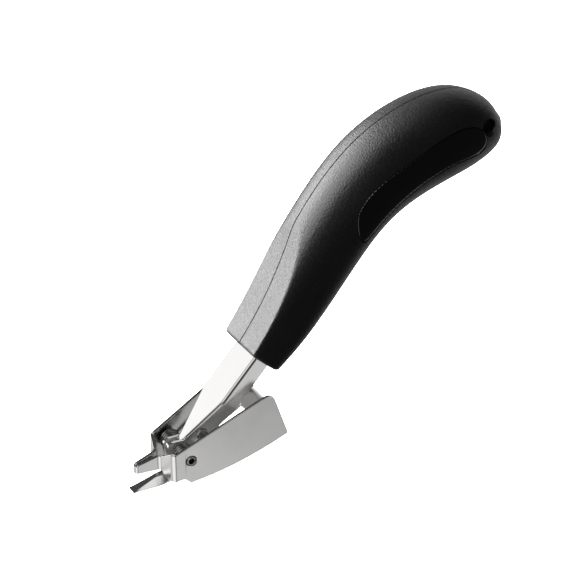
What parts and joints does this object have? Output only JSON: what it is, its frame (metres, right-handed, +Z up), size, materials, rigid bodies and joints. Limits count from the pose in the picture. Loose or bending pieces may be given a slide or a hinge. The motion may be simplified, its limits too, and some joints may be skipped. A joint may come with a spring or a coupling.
{
  "type": "staple remover",
  "caption": "Lever staple remover: a steel shaft with a wedge jaw in a plastic handle, hinged on a sprung pivot in a folded steel shoe with a pinched upper beak.",
  "frame": {"origin": "centre of the bounding box's base: the level that the shoe's heel and the handle's tail stand on", "axes": "+X from the jaws to the tail of the handle, +Y the tool's right side, +Z up as the tool rests on a table"},
  "size_m": [0.197, 0.0314, 0.0513],
  "materials": {
    "handle_plastic": "fine grained black",
    "inlay_plastic": "glossy black",
    "nickel_steel": "polished nickel plate",
    "zinc_steel": "bright zinc plate",
    "spring_steel": "drawn spring wire"
  },
  "bodies": {
    "lever": {"left_handle_shell": "handle_plastic", "right_handle_shell": "handle_plastic", "left_grip_inlay": "inlay_plastic", "right_grip_inlay": "inlay_plastic", "lever_shaft": "nickel_steel", "lower_jaw": "nickel_steel", "jaw_rivet": "zinc_steel", "return_spring": "spring_steel", "front_screw": "zinc_steel", "middle_screw": "zinc_steel", "rear_screw": "zinc_steel"},
    "shoe": {"shoe": "nickel_steel", "pivot_pin": "zinc_steel"}
  },
  "joints": [
    {"name": "shoe_hinge", "type": "hinge", "parent": "lever", "child": "shoe", "pos_m": [-0.07508, 0, 0.0235], "axis": [0, -1, 0], "range_deg": [0, 15], "stiffness_Nm_per_rad": 0.56, "springref_deg": -28.65, "deforming": ["return_spring"]}
  ]
}
